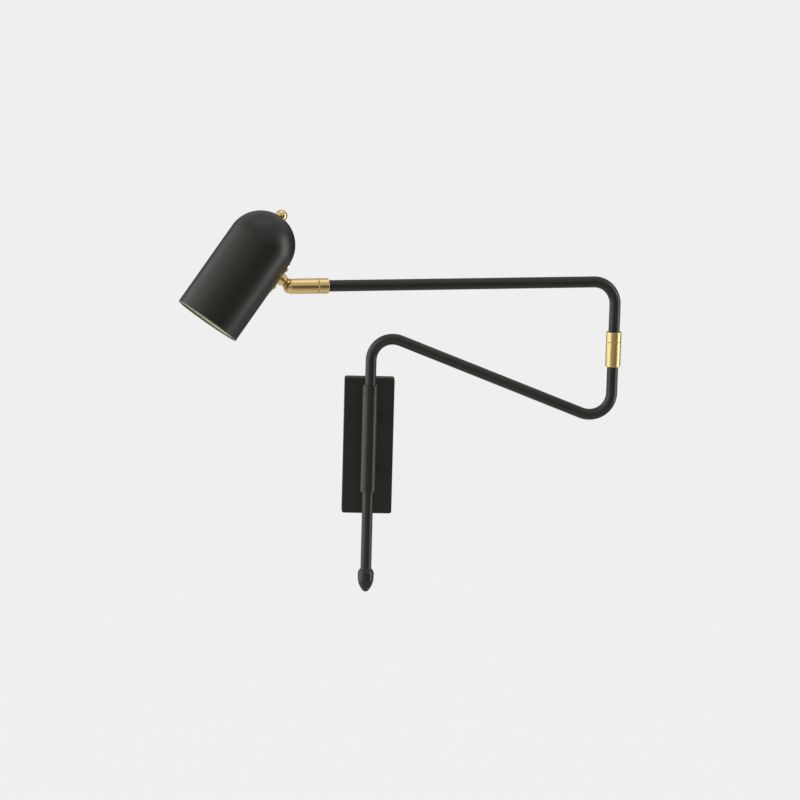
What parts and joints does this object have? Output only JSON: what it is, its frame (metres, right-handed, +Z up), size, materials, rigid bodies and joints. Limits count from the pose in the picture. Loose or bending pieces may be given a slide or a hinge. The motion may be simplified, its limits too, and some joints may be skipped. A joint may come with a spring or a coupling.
{
  "type": "articulating wall lamp",
  "caption": "Slim swing-arm wall lamp: upright sleeve on a flat wall plate, bent tube arms joined by a brass elbow, and a bullet shade on a brass swivel knuckle.",
  "frame": {"origin": "centre of the two wall-screw holes, on the back plane of the wall bracket", "axes": "+Z up along the sleeve, +Y into the wall, +X to the right as seen from the room"},
  "size_m": [0.4721, 0.2627, 0.4411],
  "materials": {
    "black_metal": "fine satin-matt black powder coat, faintly warm",
    "shade_paint": "satin-matt black outside, pale cream inside",
    "brass": "turned brass, satin lacquer",
    "steel": "zinc-plated steel",
    "black_nylon": "moulded black nylon",
    "white_plastic": "moulded natural white",
    "lamp_white": "white lamp body",
    "lens_glass": "frosted lens",
    "ceramic": "unglazed steatite",
    "wire_sheath": "flexible sheath"
  },
  "bodies": {
    "wall_mount": {"wall_bracket": "steel", "backplate": "black_metal", "plate_screws": "black_metal", "upper_post": "black_metal", "lower_post": "black_metal", "post_washers": "steel", "post_nipple": "brass", "post_nut": "steel", "post_screw": "steel", "pivot_sleeve": "black_metal", "upper_bush": "black_nylon", "lower_bush": "black_nylon", "swing_stop_screw": "black_metal", "terminal_block": "white_plastic", "earth_screw": "steel", "feed_wire": "wire_sheath"},
    "lower_arm": {"lower_arm_tube": "black_metal", "shoulder_collar": "black_metal", "collar_grub_screw": "black_metal", "swing_stop_ring": "steel", "rod_finial": "black_metal", "elbow_barrel": "brass", "elbow_spindle": "brass", "elbow_nut": "steel", "elbow_washer": "black_nylon", "elbow_stop_pin": "steel", "lower_arm_wire": "wire_sheath"},
    "upper_arm": {"upper_arm_tube": "black_metal", "elbow_collar": "brass", "head_collar": "brass", "arm_grub_screws": "brass", "upper_arm_wire": "wire_sheath"},
    "swivel": {"swivel_barrel": "brass", "swivel_spindle": "brass", "swivel_nut": "steel", "swivel_washer": "black_nylon", "swivel_stop_pin": "steel", "tilt_screw": "brass", "tilt_washers": "steel", "swivel_wire": "wire_sheath"},
    "head": {"knuckle": "brass", "saddle_plate": "brass", "saddle_screws": "brass", "saddle_nuts": "steel", "knuckle_nut": "steel", "shade": "shade_paint", "holder_strap": "steel", "lamp_holder": "ceramic", "holder_screws": "steel", "lamp_body": "lamp_white", "lamp_lens": "lens_glass", "lamp_pins": "steel", "switch_body": "black_nylon", "dome_spacer": "brass", "switch_nut": "brass", "head_wire": "wire_sheath", "lamp_leads": "wire_sheath"},
    "knob": {"switch_knob": "brass", "switch_shaft": "steel"}
  },
  "joints": [
    {"name": "shoulder_swing", "type": "hinge", "parent": "wall_mount", "child": "lower_arm", "pos_m": [0, -0.045, 0], "axis": [0, 0, 1], "range_deg": [-166, 14]},
    {"name": "elbow_swing", "type": "hinge", "parent": "lower_arm", "child": "upper_arm", "pos_m": [0.25888, -0.10955, 0.1376], "axis": [0, 0, 1], "range_deg": [-14, 316]},
    {"name": "head_roll", "type": "hinge", "parent": "upper_arm", "child": "swivel", "pos_m": [-0.06201, -0.19552, 0.2032], "axis": [-0.9659, -0.2588, 0], "range_deg": [-167.7, 162.3]},
    {"name": "head_tilt", "type": "hinge", "parent": "swivel", "child": "head", "pos_m": [-0.08963, -0.20293, 0.2032], "axis": [-0.2585, 0.9649, -0.0471], "range_deg": [-120, 48.5]},
    {"name": "switch_turn", "type": "hinge", "parent": "head", "child": "knob", "pos_m": [-0.10186, -0.20267, 0.27557], "axis": [0.5565, 0.1886, 0.8091], "continuous": true}
  ]
}
